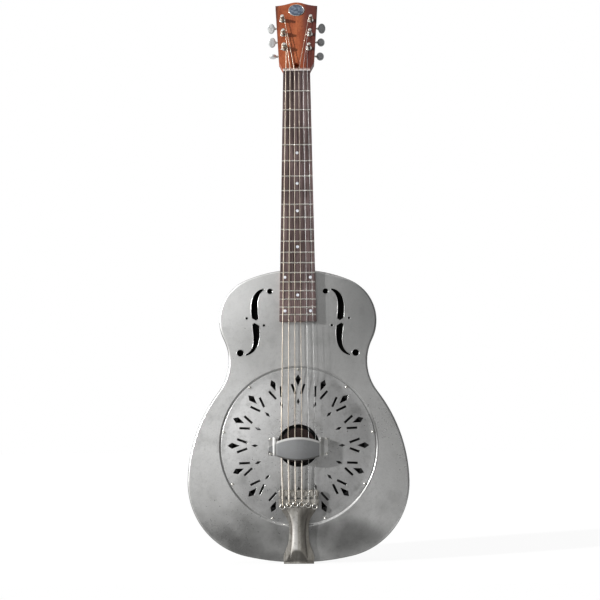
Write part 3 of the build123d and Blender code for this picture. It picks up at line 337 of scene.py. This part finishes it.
def aged_nickel(
    name, bright, dull, roughness=0.30, mottle=1.0, ground_reflection=0.0, treble_shade=0.0, wall_shade=0.8,
    hollow=False, painted_light=None,
):
    """Satin nickel plate, clouded and flecked with age; its walls get painted shade, and as asked it gets
    painted shade to treble, a painted dark reflection of the ground and other painted light.
    """
    finish = Finish(name, Metallic=0.7)
    sheet = Sheet(finish)
    pan = body_pan(finish, sheet) if hollow else None
    colour = clouded_plate(finish, sheet, bright, dull, mottle)
    if treble_shade:
        colour = treble_and_waist_shade(finish, sheet, colour, treble_shade)
    if ground_reflection:
        colour = painted_ground_reflection(finish, sheet, colour, ground_reflection, pan)
    if painted_light:
        colour = painted_light(finish, sheet, colour)
    # painted shade on side walls and rolled edges, damping the key light's glint
    painted_wall_shade = finish.ease(abs(sheet.facing_front), 0.90, 0.74) * sheet.front * wall_shade
    colour = finish.mix(painted_wall_shade, colour, shade(0.13, 0.13, 0.125))
    if hollow:
        colour = body_light_and_shade(finish, sheet, colour, pan)
    matt = roughness + (sheet.cloud - 0.5) * 0.14 + (sheet.fleck - 0.5) * 0.12
    ripple = finish.bump(sheet.cloud + sheet.blotch * 0.08, 0.004, 0.25)
    dents = finish.bump(finish.noise(sheet.place, 140.0, 1.0, 0.4), 0.0003, 0.14, over=ripple)
    return finish.drive(Base_Color=colour, Roughness=matt, Normal=dents)


def tail_nickel():
    """Worn nickel over brass, with painted light: a painted highlight on the rib's bass flank, painted
    shade on its treble side and below its foot, and slopes painted lighter or darker by which way they
    face.
    """
    finish = Finish("tailpiece", Metallic=0.85)
    place = finish.place()
    across, _, up = finish.axes(place)
    facing_treble, _, facing_up = finish.axes(finish.node("ShaderNodeTexCoord", output="Normal"))
    cloud = finish.noise(place, 40.0, 3.0, 0.55)
    fleck = finish.noise(place, 260.0, 4.0, 0.65)
    streak = finish.noise(finish.stretched(place, (240, 240, 30)), 1.0, 3.0)
    tone = finish.ease(cloud * 0.5 + streak * 0.5, 0.36, 0.64)
    colour = finish.mix(tone, shade(0.26, 0.245, 0.22), shade(0.47, 0.455, 0.42))
    wander = (cloud - 0.5) * 0.006
    # painted highlight on the rib's bass flank, which faces the key light
    rib_highlight = finish.ease(across + wander, -0.0125, -0.0075) * finish.ease(across, -0.001, -0.003)
    rib_highlight = rib_highlight * finish.ease(up, 0.018, 0.026) * finish.ease(up, 0.088, 0.062)
    colour = finish.mix(rib_highlight * 0.9, colour, shade(0.50, 0.49, 0.47))
    # painted shade on the rib's treble side
    shadowed = finish.ease(across + wander, -0.001, 0.006) * finish.ease(up, 0.10, 0.08)
    colour = finish.mix(shadowed * 0.75, colour, shade(0.09, 0.083, 0.07))
    # painted shade below the rib's foot, where the sheet bends back
    aside = across + 0.003
    arch = up + aside * aside * 60.0 + wander
    foot = finish.ease(arch, 0.026, 0.020) * finish.ease(up, 0.001, 0.005)
    colour = finish.mix(foot * 0.85, colour, shade(0.05, 0.047, 0.042))
    colour = finish.mix(finish.ease(fleck, 0.50, 0.70) * 0.45, colour, shade(0.10, 0.09, 0.075))
    # painted light and shade: slopes facing up and to the bass lighter, those facing down and to the
    # treble darker
    slant = facing_up - facing_treble
    colour = finish.mix(finish.ease(slant, 0.35, 0.95) * 0.80, colour, shade(0.72, 0.69, 0.65))
    colour = finish.mix(finish.ease(slant, -0.25, -0.85) * 0.85, colour, shade(0.05, 0.045, 0.04))
    # lighter, warmer streaks across the bar
    bar_streaks = finish.ease(up + (fleck - 0.5) * 0.01, 0.090, 0.098) * finish.ease(streak, 0.45, 0.62)
    colour = finish.mix(bar_streaks * 0.6, colour, shade(0.74, 0.70, 0.63))
    return finish.drive(
        Base_Color=colour, Roughness=0.27 + fleck * 0.16, Normal=finish.bump(fleck, 0.0002, 0.25)
    )


def silk():
    """Beige silk thread wound over the string ends."""
    finish = Finish("silk", Roughness=0.7, Sheen_Weight=0.3)
    place = finish.place()
    across, _, up = finish.axes(place)
    thread_pitch, thread_lean = 1.2 * mm, 900.0
    turns = (up * (tau / thread_pitch) + across * thread_lean).sine()
    patch = finish.ease(finish.noise(place, 220.0, 3.0), 0.35, 0.7)
    colour = finish.mix(patch, shade(0.66, 0.61, 0.54), shade(0.50, 0.45, 0.38))
    return finish.drive(Base_Color=colour, Normal=finish.bump(turns, 0.0001, 0.6))


def bright_nickel(name, colour=shade(0.66, 0.65, 0.61), roughness=0.24):
    """Small nickel-plated fittings: handled bright, dull in patches."""
    finish = Finish(name, Metallic=1.0)
    place = finish.place()
    patch = finish.noise(place, 260.0, 3.0, 0.6)
    speck = finish.noise(place, 2400.0, 2.0)
    base = finish.mix(finish.ease(patch, 0.4, 0.75), colour, shade(0.34, 0.33, 0.30))
    return finish.drive(
        Base_Color=base,
        Roughness=roughness + patch * 0.14,
        Normal=finish.bump(speck, 0.00005, 0.3),
    )


def spun_aluminium():
    """Bare spun cone: fine turned rings round the resonator's centre, its colour painted far darker than
    aluminium as painted shade for the body's dark inside.
    """
    finish = Finish("cone_aluminium", Metallic=1.0)
    place = finish.place()
    reach = finish.from_resonator(place)
    ring = finish.noise(finish.node("ShaderNodeCombineXYZ", None, {0: reach}), 2200.0, 2.0)
    cloud = finish.noise(place, 25.0, 3.0)
    # painted shade: far darker than bare aluminium
    base = finish.mix(cloud, shade(0.10, 0.10, 0.10), shade(0.17, 0.17, 0.17))
    return finish.drive(
        Base_Color=base, Roughness=0.32 + cloud * 0.15, Normal=finish.bump(ring, 0.0002, 0.5)
    )


def timber(name, light, dark, pore, grain=(90, 90, 5), roughness=0.42, shine=0.3, headstock_darkening=False):
    """Straight-grained wood with open pores; the headstock darkens on its treble half and towards its
    edges.
    """
    finish = Finish(name, Specular_IOR_Level=shine)
    place = finish.place()
    band = finish.noise(finish.stretched(place, grain), 1.0, 4.0, 0.6, 0.6)
    fine = finish.noise(finish.stretched(place, (700, 700, 22)), 1.0, 3.0, 0.6)
    cloud = finish.noise(place, 16.0, 2.0)
    colour = finish.mix(finish.ease(band * 0.7 + cloud * 0.3, 0.34, 0.66), dark, light)
    pores = finish.ease(fine, 0.56, 0.70)
    colour = finish.mix(pores * 0.75, colour, pore)
    if headstock_darkening:
        across = finish.axes(place)[0]
        wander = (cloud - 0.5) * 0.016 + (band - 0.5) * 0.008
        # darker on the treble half and towards the edges
        treble_half = finish.ease(across + wander, 0.003, 0.020) * 0.86
        colour = finish.mix(treble_half, colour, shade(0.075, 0.019, 0.018))
        edges = finish.ease(abs(across) + wander, 0.029, 0.038) * 0.85
        colour = finish.mix(edges, colour, shade(0.045, 0.014, 0.012))
    return finish.drive(
        Base_Color=colour,
        Roughness=roughness + pores * 0.2 + (band - 0.5) * 0.1,
        Normal=finish.bump(1.0 - pores, 0.0001, 0.35),
    )


def pearl(name, pale, deep_tone, treble_shade_share=0.0):
    """Mother-of-pearl look: soft overlapping flakes; as asked, painted shade on the treble side."""
    finish = Finish(name, Coat_Weight=0.5, Coat_Roughness=0.1)
    place = finish.place()
    warp = finish.noise(place, 54.0, 3.0)
    flake = finish.node(
        "ShaderNodeTexVoronoi", {"feature": "SMOOTH_F1"},
        {"Vector": place, "Scale": 270.0, "Smoothness": 0.8},
    )
    colour = finish.mix(finish.ease(flake + warp * 0.6, 0.45, 1.0), pale, deep_tone)
    colour = finish.mix(finish.ease(warp, 0.5, 0.7) * 0.35, colour, shade(0.60, 0.68, 0.70))
    if treble_shade_share:
        # painted shade: the treble buttons lie in the headstock's shadow
        treble_shade_mask = finish.ease(finish.axes(place)[0], -0.01, 0.01) * treble_shade_share
        colour = finish.mix(treble_shade_mask, colour, shade(0.09, 0.09, 0.10))
    return finish.drive(Base_Color=colour, Roughness=0.22 + warp * 0.12)


def wire(name, colour, dull, pitch=0.0):
    """String metal; a wound string shows its close turns."""
    finish = Finish(name, Metallic=1.0)
    place = finish.place()
    patch = finish.noise(finish.stretched(place, (300, 300, 18)), 1.0, 3.0)
    base = finish.mix(finish.ease(patch, 0.4, 0.7), colour, dull)
    sockets = {"Base_Color": base, "Roughness": 0.3 + patch * 0.2}
    if pitch:
        turns = (finish.axes(place)[2] * (tau / pitch)).sine()
        sockets["Normal"] = finish.bump(turns, 0.00006, 0.9)
    return finish.drive(**sockets)


def plain_metal(name, light, dark, roughness, scale=120.0):
    """Raw metal with a little tarnish."""
    finish = Finish(name, Metallic=1.0)
    patch = finish.noise(finish.place(), scale, 4.0, 0.6)
    base = finish.mix(finish.ease(patch, 0.35, 0.7), light, dark)
    return finish.drive(
        Base_Color=base, Roughness=roughness + patch * 0.2, Normal=finish.bump(patch, 0.0001, 0.3)
    )


def bone():
    """Polished bone, slightly yellowed, with a faint grain and painted shade on the slope behind its
    crest.
    """
    finish = Finish("bone", Subsurface_Weight=0.1, Subsurface_Radius=(0.002, 0.0015, 0.001))
    place = finish.place()
    streak = finish.noise(finish.stretched(place, (60, 900, 900)), 1.0, 3.0)
    cloud = finish.noise(place, 120.0, 3.0)
    grain = finish.ease(streak, 0.4, 0.7)
    colour = finish.mix(grain, shade(0.80, 0.72, 0.68), shade(0.64, 0.56, 0.51))
    # painted shade on the slope behind the crest
    behind_crest = finish.ease(finish.axes(place)[2], 0.8312, 0.8319) * 0.8
    colour = finish.mix(behind_crest, colour, shade(0.20, 0.075, 0.045))
    return finish.drive(
        Base_Color=colour, Roughness=0.30 + cloud * 0.15, Normal=finish.bump(streak, 0.00005, 0.3)
    )


def enamel():
    """Blue-grey metallic badge face, plain, clouded."""
    finish = Finish("badge", Metallic=0.7)
    cloud = finish.noise(finish.place(), 220.0, 4.0, 0.6)
    tone = finish.ease(cloud, 0.35, 0.65)
    colour = finish.mix(tone, shade(0.06, 0.08, 0.12), shade(0.20, 0.24, 0.30))
    return finish.drive(Base_Color=colour, Roughness=0.32 + cloud * 0.15)


finishes = {
    "body_plate": aged_nickel(
        "body_plate", shade(0.72, 0.72, 0.71), shade(0.56, 0.56, 0.55),
        ground_reflection=0.88, treble_shade=0.55, hollow=True,
    ),
    "coverplate": aged_nickel(
        "coverplate", shade(0.72, 0.72, 0.715), shade(0.50, 0.50, 0.495),
        mottle=1.5, ground_reflection=0.8, treble_shade=0.42,
    ),
    "palm_rest": aged_nickel(
        "palm_rest", shade(0.40, 0.405, 0.41), shade(0.29, 0.295, 0.30),
        roughness=0.33, mottle=1.3, wall_shade=0.2, painted_light=palm_rest_light_and_shade,
    ),
    "tailpiece": tail_nickel(),
    "silk": silk(),
    "screws": bright_nickel("screws"),
    "tuner_nickel": bright_nickel("tuner_nickel"),
    "inner_steel": plain_metal("inner_steel", shade(0.05, 0.05, 0.05), shade(0.02, 0.02, 0.02), 0.6),
    "cone_aluminium": spun_aluminium(),
    # the biscuit is painted near black: painted shade, as it lies in deep shadow under the palm rest
    "maple": timber(
        "maple", shade(0.018, 0.008, 0.006), shade(0.010, 0.005, 0.004), shade(0.005, 0.003, 0.002)
    ),
    "saddle_maple": timber(
        "saddle_maple", shade(0.10, 0.055, 0.035), shade(0.05, 0.026, 0.016), shade(0.02, 0.01, 0.01)
    ),
    "neck_mahogany": timber(
        "neck_mahogany", shade(0.42, 0.122, 0.048), shade(0.25, 0.055, 0.021), shade(0.09, 0.02, 0.01),
        shine=0.22, headstock_darkening=True,
    ),
    "rosewood": timber(
        "rosewood", shade(0.17, 0.12, 0.115), shade(0.042, 0.026, 0.025), shade(0.010, 0.006, 0.006),
        grain=(260, 260, 7), roughness=0.5,
    ),
    "fret_wire": bright_nickel("fret_wire", shade(0.72, 0.70, 0.64), 0.2),
    "pearl_dots": pearl("pearl_dots", shade(0.86, 0.88, 0.90), shade(0.55, 0.58, 0.66)),
    "bone": bone(),
    "wound_string": wire("wound_string", shade(0.72, 0.64, 0.53), shade(0.50, 0.42, 0.33), 0.9 * mm),
    "plain_string": wire("plain_string", shade(0.78, 0.78, 0.77), shade(0.55, 0.55, 0.54)),
    "gear_brass": plain_metal("gear_brass", shade(0.62, 0.45, 0.17), shade(0.35, 0.22, 0.08), 0.3, 600.0),
    "button_pearl": pearl("button_pearl", shade(0.69, 0.71, 0.70), shade(0.44, 0.46, 0.46), treble_shade_share=0.66),
    "badge": enamel(),
}

slot_of = {part["node"]: part["material_slot"] for part in frame["record"]["subparts"]}
for name, node in nodes.items():
    node.data.materials.clear()
    node.data.materials.append(finishes[slot_of[name]])

# ---------------------------------------------------------------- small details


def piece(name, data, slot, body="guitar"):
    """Show one new piece in its slot's finish, moving with a body."""
    made = bpy.data.objects.new(name, data)
    bpy.context.collection.objects.link(made)
    data.materials.append(finishes[slot])
    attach(made, body)
    return made


def tube(name, paths, radius, slot, body="guitar", closed=False):
    """Round wire of one radius along each path."""
    data = bpy.data.curves.new(name, "CURVE")
    data.dimensions = "3D"
    data.bevel_depth = radius
    data.bevel_resolution = 3
    data.use_fill_caps = not closed
    for path in paths:
        spline = data.splines.new("POLY")
        spline.points.add(len(path) - 1)
        for knot, spot in zip(spline.points, path):
            knot.co = (*spot, 1)
        spline.use_cyclic_u = closed
        spline.use_smooth = True
    return piece(name, data, slot, body)


def helix(frame_of, reach, low, high, turns, steps):
    """Points of a coil round the local z axis of a frame."""
    count = int(turns * steps)
    spots = []
    for step in range(count + 1):
        share = step / count
        angle = share * turns * tau
        spot = Vector((reach * cos(angle), reach * sin(angle), low + share * (high - low)))
        spots.append(frame_of @ spot)
    return spots


def rim_loops(node, plane_y, wanted):
    """Closed chains of a sheet's sharp edges that lie in its front plane."""
    mesh = bmesh.new()
    mesh.from_mesh(nodes[node].data)
    bmesh.ops.remove_doubles(mesh, verts=mesh.verts, dist=1e-6)
    rim = {
        edge
        for edge in mesh.edges
        if all(abs(corner.co.y - plane_y) < 2e-5 and wanted(corner.co) for corner in edge.verts)
        and edge.calc_face_angle(0) > radians(60)
    }
    loops = []
    while rim:
        edge = rim.pop()
        first, spot = edge.verts
        loop = [first.co.copy()]
        while spot is not first:
            loop.append(spot.co.copy())
            onward = [other for other in spot.link_edges if other in rim]
            if not onward:
                break
            rim.discard(onward[0])
            spot = onward[0].other_vert(spot)
        loops.append(loop)
    mesh.free()
    return loops


def widened(loop, amount):
    """The same closed loop, moved outwards in its plane."""
    onward = loop[1:] + loop[:1]
    turning = sum(spot.x * after.z - after.x * spot.z for spot, after in zip(loop, onward))
    side = 1 if turning > 0 else -1
    moved = []
    for i, spot in enumerate(loop):
        along = (onward[i] - loop[i - 1]).normalized()
        moved.append(spot + side * amount * Vector((along.z, 0, -along.x)))
    return moved


def beside_neck(spot):
    """The part of the top that holds the sound holes."""
    return spot.z > 0.33 and 0.035 < abs(spot.x) < 0.14


sheet_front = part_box("body_top")[0][1]
lip_radius, lip_outset, lip_sink = 0.75 * mm, 0.5 * mm, 0.45 * mm
fewest_lip_points = 9
lips = [
    [spot + Vector((0, lip_sink, 0)) for spot in widened(loop, lip_outset)]
    for loop in rim_loops("body_top", sheet_front, beside_neck)
    if len(loop) >= fewest_lip_points
]
tube("sound_hole_lips", lips, lip_radius, "body_plate", closed=True)

# ---------------------------------------------------------------- string ends

post_spots = {}
for order, (bass_string, treble_string) in enumerate((("e_low", "e_high"), ("a", "b"), ("d", "g"))):
    across = post_across + post_across_step * order
    along = post_along + post_along_step * order
    post_spots[bass_string] = (-across, along)
    post_spots[treble_string] = (across, along)


def winding(name, gauge, turns):
    """The string's turns round its post, and its end in the post's cross hole."""
    across, along = post_spots[name]
    side = 1 if across > 0 else -1
    base = headstock @ Matrix.Translation((across, along, 0)) @ Matrix.Diagonal((side, 1, 1, 1))
    first_turn = 4.75 * mm + 2.2 * gauge
    last_turn = first_turn + 2.1 * turns * gauge
    wound = helix(base, 3.1 * mm + gauge, first_turn, last_turn, turns, steps=20)
    wound.append(base @ Vector((2.0 * mm, -0.5 * mm, 8.8 * mm)))
    tube("winding_" + name, [wound], gauge, slot_of["string_" + name], "post_" + name)


def silk_sleeve(name, low, high, radius):
    """Thread wound round a low string's end, from the bar almost to the saddle."""
    sleeve = [low + Vector((0, 0, -13 * mm)), low, low.lerp(high, 0.45), low.lerp(high, 0.80)]
    tube("silk_" + name, [sleeve], radius, "silk")


def ball_twist(name, low, high, gauge):
    """A high string's end, twisted back round itself."""
    lead = (high - low).normalized()
    twist_frame = Matrix.Translation(low) @ lead.to_track_quat("Z", "Y").to_matrix().to_4x4()
    twist = helix(twist_frame, gauge * 2.2, -12 * mm, 12.5 * mm, 12, steps=10)
    tube("ball_twist_" + name, [twist], gauge, slot_of["string_" + name])


for order, name in enumerate(strings):
    gauge = wire_radius[name] * mm
    low = Vector(((order - middle_string) * bar_spacing, bar_top_y, bar_top_z))
    high = Vector(((order - middle_string) * saddle_spacing, saddle_top_y, resonator_z))
    if order < sleeved_count:
        winding(name, gauge, turns=3.2)
        silk_sleeve(name, low, high, (1.30 - 0.10 * order) * mm)
    else:
        winding(name, gauge, turns=4.6)
        ball_twist(name, low, high, gauge)

eyelet_radius, eyelet_y, middle_eyelet_z, bar_bow = 3.9 * mm, -53.7 * mm, 95.6 * mm, 5.2
eyelets = []
for order in range(len(strings)):
    across = (order - middle_string) * bar_spacing
    centre = Vector((across, eyelet_y, middle_eyelet_z - bar_bow * across * across))
    eyelets.append([
        centre + eyelet_radius * Vector((cos(angle), 0, sin(angle)))
        for angle in (tau * step / 32 for step in range(32))
    ])
tube("bar_eyelets", eyelets, 0.75 * mm, "screws", closed=True)

# ---------------------------------------------------------------- headstock badge


def badge_dome():
    """A plain, slightly domed oval plate."""
    mesh = bmesh.new()
    rise, steps = 1.4 * mm, 8
    quarter = [radians(90 * step / steps) for step in range(steps + 1)]
    arc = [Vector((sin(angle), 0, rise * cos(angle))) for angle in quarter] + [Vector()]
    spots = [mesh.verts.new(spot) for spot in arc]
    edges = [mesh.edges.new(pair) for pair in zip(spots, spots[1:])]
    bmesh.ops.spin(
        mesh, geom=spots + edges, axis=(0, 0, 1), cent=(0, 0, 0), steps=48, angle=tau, use_merge=True
    )
    bmesh.ops.remove_doubles(mesh, verts=mesh.verts, dist=1e-7)
    size = Matrix.Diagonal((13.5 * mm, 12.1 * mm, 1, 1))
    placed = headstock @ Matrix.Translation((0, badge_along, 0.3 * mm)) @ size
    bmesh.ops.transform(mesh, matrix=placed, verts=mesh.verts)
    bmesh.ops.recalc_face_normals(mesh, faces=mesh.faces)
    for face in mesh.faces:
        face.smooth = True
    data = bpy.data.meshes.new("badge_dome")
    mesh.to_mesh(data)
    mesh.free()
    return piece("badge_dome", data, "badge")


badge_dome()
bezel = [
    headstock @ Vector((13.6 * mm * cos(angle), badge_along + 12.2 * mm * sin(angle), 0.4 * mm))
    for angle in (tau * step / 64 for step in range(64))
]
tube("badge_bezel", [bezel], 0.6 * mm, "fret_wire", closed=True)

# ---------------------------------------------------------------- softened edges


def soften(name, width):
    """Round a CAD sheet's sharp edges where light catches them."""
    node = nodes[name]
    weld = node.modifiers.new("weld", "WELD")
    weld.merge_threshold = 2e-6
    flat = node.modifiers.new("flat", "DECIMATE")
    flat.decimate_type = "DISSOLVE"
    flat.angle_limit = radians(0.3)
    bevel = node.modifiers.new("bevel", "BEVEL")
    bevel.width = width
    bevel.segments = 2
    bevel.limit_method = "ANGLE"
    bevel.angle_limit = radians(35)
    bevel.use_clamp_overlap = False
    normals = node.modifiers.new("normals", "WEIGHTED_NORMAL")
    normals.keep_sharp = False
    normals.weight = 60


soften("palm_rest", 0.4 * mm)
soften("coverplate", 0.25 * mm)
soften("nut", 0.5 * mm)

# ---------------------------------------------------------------- stage and light

floor_mesh = bmesh.new()
bmesh.ops.create_circle(floor_mesh, cap_ends=True, segments=96, radius=8)
floor_data = bpy.data.meshes.new("floor")
floor_mesh.to_mesh(floor_data)
floor_mesh.free()
floor = bpy.data.objects.new("floor", floor_data)
bpy.context.collection.objects.link(floor)


def stage_card(name, corner, far_corner, felt, plane):
    """A flat card beside the camera that only the metal's reflections see."""
    mesh = bmesh.new()
    bmesh.ops.create_grid(mesh, x_segments=1, y_segments=1, size=0.5)
    low, high = Vector(corner), Vector(far_corner)
    span = high - low
    turned, size = {
        "XY": (Matrix(), (span.x, span.y)),
        "XZ": (Matrix.Rotation(pi / 2, 4, "X"), (span.x, span.z)),
        "YZ": (Matrix.Rotation(pi / 2, 4, "Y"), (span.z, span.y)),
    }[plane]
    placed = Matrix.Translation((low + high) / 2) @ turned @ Matrix.Diagonal((*size, 1, 1))
    bmesh.ops.transform(mesh, matrix=placed, verts=mesh.verts)
    data = bpy.data.meshes.new(name)
    mesh.to_mesh(data)
    mesh.free()
    card = bpy.data.objects.new(name, data)
    bpy.context.collection.objects.link(card)
    card.visible_camera = False
    card.visible_diffuse = False
    card.visible_shadow = False
    data.materials.append(felt)


black_felt = Finish("black_felt", Base_Color=shade(0.01, 0.01, 0.01), Roughness=1.0).owner
grey_felt = Finish("grey_felt", Base_Color=shade(0.35, 0.35, 0.35), Roughness=1.0).owner
stage_card("floor_flag", (-1.6, -1.5, 0.002), (1.6, -0.25, 0.002), black_felt, "XY")
stage_card("upper_flag", (-0.06, -2.4, 0.42), (2.6, -2.4, 2.6), black_felt, "XZ")
stage_card("lower_flag", (0.06, -2.4, 0.0), (2.6, -2.4, 0.42), grey_felt, "XZ")
stage_card("treble_flag", (1.3, -2.3, 0.0), (1.3, -0.1, 2.4), black_felt, "YZ")

white_floor = Finish("white_floor", Roughness=0.9)
white_floor.drive(Base_Color=shade(0.9, 0.9, 0.9))
seen = white_floor.direct_rays("Is Glossy Ray")
glow = white_floor.node("ShaderNodeEmission", None, {"Color": shade(1, 1, 1), "Strength": 1.07})
mixed = white_floor.node(
    "ShaderNodeMixShader", None,
    {0: seen * 0.86, 1: Value(white_floor, white_floor.shader.outputs[0]), 2: glow},
)
output = white_floor.tree.nodes["Material Output"]
white_floor.join(mixed, output.inputs["Surface"])
floor_data.materials.append(white_floor.owner)

world = bpy.data.worlds.new("studio")
bpy.context.scene.world = world
studio = Finish("studio", world)
east, _, high = studio.axes(studio.node("ShaderNodeTexCoord", output="Generated"))
soft = (0.32 - 0.12 * studio.ease(east, -0.6, 0.6)) * (0.75 + 0.25 * studio.ease(high, -0.3, 0.6))
direct = studio.direct_rays("Is Glossy Ray", "Is Transmission Ray")
background = studio.tree.nodes["Background"]
studio.join(shade(1, 1, 1), background.inputs["Color"])
studio.join(direct + (1.0 - direct) * soft, background.inputs["Strength"])

key = bpy.data.objects.new("key", bpy.data.lights.new("key", "SUN"))
key.data.energy = 4.6
key.data.angle = radians(2.5)
key_heading = Vector((0.84, 0.475, -0.262))
key.matrix_world = key_heading.to_track_quat("-Z", "Y").to_matrix().to_4x4()
bpy.context.collection.objects.link(key)

bpy.context.scene.view_settings.view_transform = "Standard"
